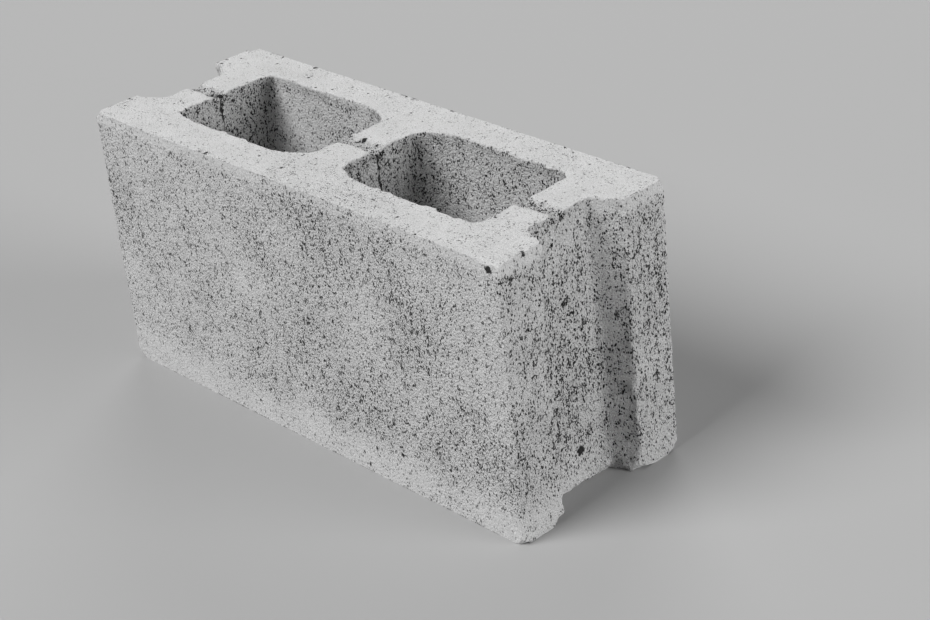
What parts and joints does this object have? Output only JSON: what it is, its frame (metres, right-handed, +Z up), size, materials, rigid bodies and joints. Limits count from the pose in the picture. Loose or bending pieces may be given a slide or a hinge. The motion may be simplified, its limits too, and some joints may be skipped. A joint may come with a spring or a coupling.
{
  "type": "hollow concrete block",
  "caption": "Hollow concrete masonry block with rounded tapered cores between two face shells, flat beds, and a recess between the ears at each end.",
  "frame": {"origin": "middle of the bottom bed, on the floor that the block stands on", "axes": "+X along the block's length towards its right-hand end, +Y across the wall towards the rear face shell, +Z up through the cores to the top bed, which has the core bar marks"},
  "size_m": [0.3968, 0.143, 0.1937],
  "materials": {
    "concrete": "matte"
  },
  "bodies": {
    "root": {"block": "concrete"}
  },
  "joints": []
}
